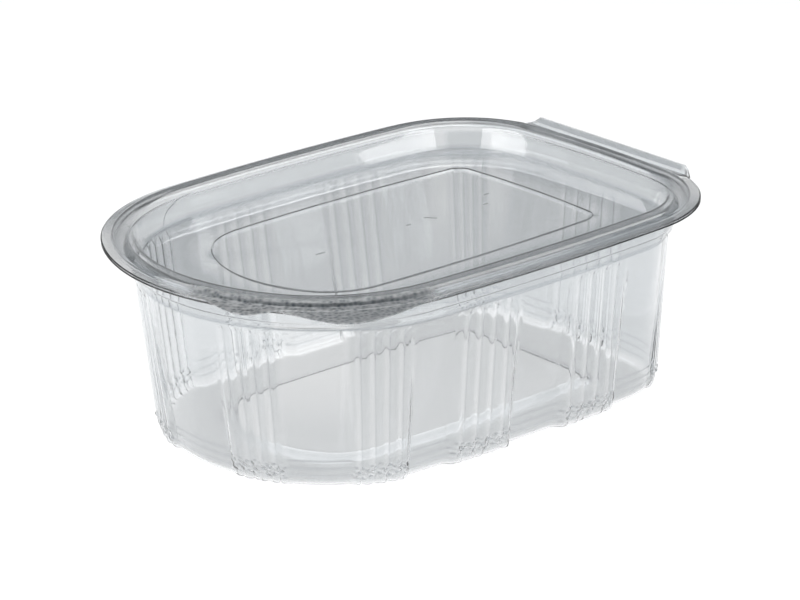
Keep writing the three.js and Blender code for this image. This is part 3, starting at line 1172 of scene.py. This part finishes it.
        # Lighter tint high on the panels at the corners.
        corner_cleared = self.corner_clearing * (cornering * (1 - stand) * smooth(z, *self.corner_span))
        hinge_end = self.hinge_wall_stock * (self.outline.hinge_ending(s)[:, None] * (z < self.flute_top))
        # Painted shade lines at the shoulder, on the creases and in the crumple.
        shoulder = bell(z - self.flute_top, self.shoulder_width)
        crease = sum(bell(z - height, self.crease_shade_width) for height in self.crease_heights)
        hatch = smooth(self.crinkle(s, z), 0.9, 2.0) * stand * (1 - smooth(z, *self.hatch_span))
        lines = shoulder + self.hatch_shade * hatch + self.crease_shade * crease * (1 - stand)
        return level + flutes - corner_cleared + hinge_end + lines

    def rim_tint(self, s: Array, inset: Array, z: Array) -> Array:
        """Spread the tint over neck, bead and flange: full on the bead's outer side, as painted shade.

        The flange is full along the two long sides, as a band of painted shade, and nearly clear at the
        ends.

        Args:
            s: station distances, shape (n,).
            inset: insets, shape (n, rows).
            z: heights, shape (n, rows).

        Returns:
            The stock mask, shape (n, rows).
        """
        # Painted shade on the bead's outer side, and a band of painted shade along the flange's long sides.
        outer = steepness(inset, z) * (1 - smooth(inset, self.bead_outer + 1.6, self.bead_outer + 2.4))
        bead = mix(self.bead_stock, self.bead_side_shade, outer)
        flange = mix(self.flange_stock, self.side_flange_shade, self.outline.siding(s))[:, None]
        return mix(flange, bead, smooth(inset, self.bead_outer - 0.7, self.bead_outer + 0.2))

    def build(self) -> bpy.types.Object:
        """Make the tub's mesh.

        Returns:
            The object, riding on nothing yet.
        """
        s = self.stations()
        foot = self.wall_inset(s, np.array([self.radius_top]))[:, 0]
        floor = self.floor_profile(foot)
        rounding = self.foot_profile(foot)
        wall = self.wall_profile(s)
        rim = self.rim_profile(s)
        inset, z = (np.concatenate(rows, axis=1) for rows in zip(floor, rounding, wall, rim))
        vertices, faces = ring_sheet(sweep(self.outline, s, inset, z), self.sheet_thickness(s, z))
        low_tint = self.floor_tint(*floor, floor[0].shape[1] + rounding[0].shape[1])
        above_collar = smooth(rim[1], self.collar_top, self.flange - 0.2)
        high_tint = mix(self.wall_tint(s, rim[1]), self.rim_tint(s, *rim), above_collar)
        tint = np.concatenate([low_tint, self.wall_tint(s, wall[1]), high_tint], axis=1)
        skin = Surface()
        skin.add(vertices, faces, ring_mask(self.grip_mask(s, inset, z)), ring_mask(tint))
        skin.add(*self.leg.sheet(self.outline.shift_x, self.thickness), 0.0, self.leg_stock)
        return skin.build("tub_sheet")


# ------------------------------------------------------------------------------------------------
# The lid
# ------------------------------------------------------------------------------------------------


@dataclass
class Lid:
    """The lid: middle panel, ledge, plug wall, bead and flange.

    Heights, insets and depths of tint are as in Tub.
    """

    outline: RimOutline
    thickness: float = 0.3
    # The middle panel and the ledge round it.
    ledge: float = 42.55
    ledge_outer: float = 10.3
    ledge_full: float = 19.0
    ledge_margin: float = 2.0
    ledge_inner: float = 25.8
    panel_drop: float = 0.6
    panel_edge: float = 26.1
    panel_margin: float = 1.5
    # The plug wall, the bead and the flange.
    plug_knee: float = 9.25
    plug_rise: float = 2.2
    flange: float = 47.2
    bead: float = 1.35
    bead_inner: float = 7.45
    bead_crown: float = 1.0
    bead_outer: float = 2.75
    bead_brow: float = 0.45
    bead_lean: float = 0.05
    flange_margin: float = 0.35
    flange_trim: float = 1.5
    trim_blend: float = 2.0
    tab: GripTab = GripTab(-194.0, -180.0, -172.5, 4.7)
    grip_span: tuple[float, float] = (-201.0, -133.0)
    grip_blend: float = 6.0
    leg: HingeLeg = HingeLeg((68.4, 47.25), (70.05, 48.95))
    station_step: float = 1.1
    # Pips on the panel, by x and y of both ends, and a crease down the plug wall, by stations and heights.
    pips: tuple[tuple[float, float, float, float], ...] = (
        (-22.3, 0.7, -19.9, 0.3),
        (5.9, 1.8, 7.2, 1.6),
        (12.4, 3.2, 14.6, 0.8),
        (28.9, 0.7, 30.2, 0.4),
        (33.9, 6.2, 35.2, 5.9),
    )
    pip_radius: float = 0.12
    pip_points: int = 5
    pip_stand: float = 0.2
    crease_s: tuple[float, ...] = (149.5, 148.0, 145.0, 141.0, 139.5, 137.0, 133.5)
    crease_z: tuple[float, ...] = (43.4, 44.6, 45.8, 46.6, 47.1, 47.3, 47.5)
    crease_points: int = 25
    # Depths of tint, and the places of the spots and lines that are fuller than the rest. The ledge's band,
    # the step's line and spots and the lip are painted shade.
    panel_stock: float = 0.41
    ledge_shade: float = 0.36
    step_shade: float = 0.35
    shade_spot_stations: tuple[float, ...] = (-47.0, 181.0)
    shade_spot_length: float = 7.0
    shade_spot_width: float = 1.2
    shade_spot_depth: float = 0.8
    plug_stock: float = 0.12
    bead_stock: float = 0.32
    # Painted shade on the bead's outer side and along the flange's long sides.
    bead_side_shade: float = 0.8
    flange_stock: float = 0.05
    side_flange_shade: float = 0.7
    leg_stock: float = 0.68
    # Painted shade line on the bead's inner side at the hinge end.
    lip_inset: float = 6.9
    lip_width: float = 1.0
    lip_shade: float = 0.8

    def stations(self) -> Array:
        """Spread stations evenly round the outline.

        Returns:
            Distances from the middle of the hinge end, from the -Y half round to the +Y half.
        """
        far = self.outline.half_round
        count = round(2 * far / self.station_step)
        return (np.arange(count) / count * 2 - 1) * far

    def sheet_profile(self, s: Array) -> tuple[Array, Array]:
        """Profile of the lid from the panel out to the flange's edge, which is trimmed back at the hinge.

        Args:
            s: station distances, shape (n,).

        Returns:
            Insets and heights, each of shape (n, rows).
        """
        panel = self.ledge - self.panel_drop
        crown = self.flange + self.bead
        between = smooth(self.leg.half_width + self.trim_blend / 2 - np.abs(s), 0, self.trim_blend)
        edge = mix(self.thickness / 2, self.flange_trim, between) - self.tab.reach_at(s)
        knees = [
            Knee(self.panel_edge + self.panel_margin, panel),
            Knee(self.panel_edge, panel, 0.15),
            Knee(self.ledge_inner, self.ledge, 0.15),
            Knee(self.ledge_inner - self.ledge_margin, self.ledge),
            Knee(self.ledge_full, self.ledge),
            Knee(self.ledge_outer, self.ledge, 0.15),
            Knee(self.plug_knee, self.ledge + self.plug_rise, 1.2),
            Knee(self.bead_inner, crown, 1.5),
            Knee(self.bead_outer + self.bead_crown, crown, 0.9),
            Knee(self.bead_outer, crown - self.bead_brow, 0.35),
            Knee(self.bead_outer - self.bead_lean, self.flange, 0.3),
            Knee(edge + self.flange_margin, self.flange),
            Knee(edge, self.flange),
        ]
        return profile(knees, len(s), steps=5)

    def grip_mask(self, s: Array, inset: Array) -> Array:
        """Mark the stippled skin: the flange and the bead's outer side along the grip's span.

        Args:
            s: station distances, shape (n,).
            inset: insets, shape (n, rows).

        Returns:
            The grip mask, shape (n, rows).
        """
        low, high = self.grip_span
        along = plateau(s, low, low + self.grip_blend, high - self.grip_blend, high)
        return along[:, None] * (1 - smooth(inset, self.bead_outer + 0.6, self.bead_outer + 1.4))

    def tint(self, s: Array, inset: Array, z: Array) -> Array:
        """Spread the tint over the lid: nearly clear on the plug wall, fuller on ledge, panel and bead, with
        a band of painted shade on the ledge.

        The flange is full along the two long sides, a band of painted shade, and the bead's inner side is
        full at the hinge end, a line of painted shade over a bright reflection. The step round the panel is
        a dark line of painted shade, and two spots of it are full as well.

        Args:
            s: station distances, shape (n,).
            inset: insets, shape (n, rows).
            z: heights, shape (n, rows).

        Returns:
            The stock mask, shape (n, rows).
        """
        steep = steepness(inset, z)
        # Painted shade: a band over the ledge and a dark line on the step round the panel.
        ledge = self.ledge_shade * smooth(-inset, self.ledge_margin - self.ledge_inner, -self.ledge_full)
        pressed = self.panel_stock + ledge + self.step_shade * steep * (z < self.ledge + 0.1)
        # Two spots of painted shade on the step round the panel.
        for middle in self.shade_spot_stations:
            along = bell((s - middle)[:, None], self.shade_spot_length)
            pressed = pressed + self.shade_spot_depth * (along * bell(inset - self.ledge_inner, self.shade_spot_width))
        plug = mix(pressed, self.plug_stock, smooth(z, self.ledge, self.ledge + 0.8))
        # Painted shade on the bead's outer side, and below a band of painted shade along the flange's long
        # sides.
        outer = steep * (1 - smooth(inset, self.bead_outer + 0.8, self.bead_outer + 1.6))
        bead = mix(self.bead_stock, self.bead_side_shade, outer)
        raised = mix(plug, bead, smooth(z, self.flange - 0.9, self.flange + 0.3))
        flange = mix(self.flange_stock, self.side_flange_shade, self.outline.siding(s))[:, None]
        skin = mix(flange, raised, smooth(inset, self.bead_outer - 0.5, self.bead_outer - 0.1))
        # A line of painted shade on the bead's inner side at the hinge end, over a bright reflection.
        lip = bell(inset - self.lip_inset, self.lip_width) * (z > self.flange)
        return skin + self.lip_shade * self.outline.hinge_ending(s)[:, None] * lip

    def add_marks(self, skin: Surface) -> None:
        """Add the small marks of forming: pips on the panel and a crease down the plug wall, both painted
        dark as shade.

        Args:
            skin: the lid's surface, which the marks lie on.
        """
        height = self.ledge - self.panel_drop + self.thickness / 2 + self.pip_stand * self.pip_radius
        for x0, y0, x1, y1 in self.pips:
            path = np.linspace((x0, y0, height), (x1, y1, height), self.pip_points)
            # Full tint and the grip's stipple paint the pips dark with shade.
            skin.add(*thread(path, self.pip_radius), 1.0, 1.0)
        turn = np.linspace(0, len(self.crease_s) - 1, self.crease_points)
        knots = np.arange(len(self.crease_s))
        s = np.interp(turn, knots, self.crease_s)
        z = np.interp(turn, knots, self.crease_z)
        lean = (self.ledge_outer - self.bead_inner) / (self.flange + self.bead - self.ledge)
        inset = self.ledge_outer - (z - self.ledge) * lean + self.thickness / 2
        point, normal = self.outline.at(s)
        path = np.concatenate([point - normal * inset[:, None], z[:, None]], axis=1)
        # Full tint paints the crease dark with shade.
        skin.add(*thread(path, self.pip_radius), 0.0, 1.0)

    def build(self) -> bpy.types.Object:
        """Make the lid's mesh.

        Returns:
            The object, riding on nothing yet.
        """
        s = self.stations()
        inset, z = self.sheet_profile(s)
        vertices, faces = ring_sheet(sweep(self.outline, s, inset, z), self.thickness)
        skin = Surface()
        skin.add(vertices, faces, ring_mask(self.grip_mask(s, inset)), ring_mask(self.tint(s, inset, z)))
        skin.add(*self.leg.sheet(self.outline.shift_x, self.thickness), 0.0, self.leg_stock)
        self.add_marks(skin)
        return skin.build("lid_sheet")


# ------------------------------------------------------------------------------------------------
# The studio
# ------------------------------------------------------------------------------------------------


@dataclass(frozen=True)
class Camera:
    """The camera, worked out from the rim and the foot.

    It looks along its azimuth and elevation towards the rim's middle, moved by right and up in its own plane
    and turned by its roll. Angles are degrees and lengths millimetres, but both clipping distances are
    metres.
    """

    azimuth: float = -38.677
    elevation: float = 20.197
    distance: float = 1042.1
    roll: float = -1.843
    right: float = 2.461
    up: float = -20.278
    rim_height: float = 47.0
    lens: float = 198.74
    sensor: float = 36.0
    clip_start: float = 0.05
    clip_end: float = 50.0

    def build(self, shift_x: float) -> None:
        """Place the camera and make it the scene's.

        Args:
            shift_x: distance of the rim outline's centre from the frame's origin along X.
        """
        a, e, k = (math.radians(v) for v in (self.azimuth, self.elevation, self.roll))
        level = np.array([math.cos(a), math.sin(a), 0.0])
        rise = np.array([-math.sin(a) * math.sin(e), math.cos(a) * math.sin(e), math.cos(e)])
        back = np.array([math.sin(a) * math.cos(e), -math.cos(a) * math.cos(e), math.sin(e)])
        right = level * math.cos(k) + rise * math.sin(k)
        up = -level * math.sin(k) + rise * math.cos(k)
        place = back * self.distance + right * self.right + up * self.up
        place = (place + np.array([shift_x, 0.0, self.rim_height])) * MM
        data = bpy.data.cameras.new("camera")
        data.sensor_width = self.sensor
        data.lens = self.lens
        data.clip_start = self.clip_start
        data.clip_end = self.clip_end
        made = bpy.data.objects.new("camera", data)
        turn = Matrix((right, up, back)).transposed()
        made.matrix_world = Matrix.Translation(Vector(place)) @ turn.to_4x4()
        bpy.context.scene.collection.objects.link(made)
        bpy.context.scene.camera = made


@dataclass(frozen=True)
class SoftLight:
    """A soft box that faces the frame's vertical axis at its aim height, in metres and watts."""

    name: str
    place: tuple[float, float, float]
    size: tuple[float, float]
    power: float
    aim_height: float = 0.0

    def build(self) -> None:
        """Make the lamp."""
        data = bpy.data.lights.new(self.name, "AREA")
        data.shape = "RECTANGLE"
        data.size, data.size_y = self.size
        data.energy = self.power
        made = bpy.data.objects.new(self.name, data)
        place = Vector(self.place)
        away = place - Vector((0.0, 0.0, self.aim_height))
        made.matrix_world = Matrix.Translation(place) @ away.to_track_quat("Z", "Y").to_matrix().to_4x4()
        bpy.context.scene.collection.objects.link(made)


@dataclass(frozen=True)
class Studio:
    """A plain pale floor under soft lights, with its lengths in metres.

    The floor lies a hair under the foot, so that the two never share a plane. Light may bounce often,
    because many skins of clear sheet lie behind one another.
    """

    floor_size: float = 8.0
    floor_drop: float = 0.0001
    floor_colour: tuple[float, float, float] = (0.86, 0.865, 0.87)
    floor_roughness: float = 0.9
    floor_specular: float = 0.2
    world_colour: tuple[float, float, float] = (0.11, 0.113, 0.116)
    clear_bounces: int = 32
    glossy_bounces: int = 12
    diffuse_bounces: int = 4
    lights: tuple[SoftLight, ...] = (
        SoftLight("overhead", (0.1, 0.3, 2.2), (3.6, 3.6), 85.0),
        SoftLight("right", (0.1469, -0.4454, 0.228), (0.365, 0.45), 1.12, 0.228),
        SoftLight("left", (-0.411, 0.13, 0.228), (0.508, 0.45), 1.56, 0.228),
    )

    def build_floor(self) -> None:
        """Make the floor."""
        half = self.floor_size / 2
        corners = [(-half, -half, 0), (half, -half, 0), (half, half, 0), (-half, half, 0)]
        mesh = bpy.data.meshes.new("floor")
        mesh.from_pydata(corners, [], [(0, 1, 2, 3)])
        floor = bpy.data.objects.new("floor", mesh)
        floor.location.z = -self.floor_drop
        bpy.context.scene.collection.objects.link(floor)
        paper = bpy.data.materials.new("pale_floor")
        paper.use_nodes = True
        shader = paper.node_tree.nodes["Principled BSDF"]
        shader.inputs["Base Color"].default_value = (*self.floor_colour, 1.0)
        shader.inputs["Roughness"].default_value = self.floor_roughness
        shader.inputs["Specular IOR Level"].default_value = self.floor_specular
        mesh.materials.append(paper)

    def build(self) -> None:
        """Make the floor, the world and the lights, and set how often light may bounce."""
        self.build_floor()
        world = bpy.data.worlds.new("studio")
        world.use_nodes = True
        world.node_tree.nodes["Background"].inputs["Color"].default_value = (*self.world_colour, 1.0)
        scene = bpy.context.scene
        scene.world = world
        for light in self.lights:
            light.build()
        scene.view_settings.view_transform = "Standard"
        scene.cycles.max_bounces = self.clear_bounces
        scene.cycles.transmission_bounces = self.clear_bounces
        scene.cycles.transparent_max_bounces = self.clear_bounces
        scene.cycles.glossy_bounces = self.glossy_bounces
        scene.cycles.diffuse_bounces = self.diffuse_bounces


def main() -> None:
    """Build the pot and the studio."""
    logging.basicConfig(level=logging.INFO, format="%(name)s: %(message)s")
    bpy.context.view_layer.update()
    outline = RimOutline()
    ripple = ripple_group()
    sheet = ClearSheet("clear_sheet").material(ripple)
    for maker, body in ((Tub(outline), Body.TUB), (Lid(outline), Body.LID)):
        piece = maker.build()
        piece.data.materials.append(sheet)
        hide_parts(body.value)
        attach(piece, body.value)
        LOG.info("%s: %d faces", piece.name, len(piece.data.polygons))
    Studio().build()
    Camera().build(outline.shift_x)


if __name__ == "__main__":
    main()
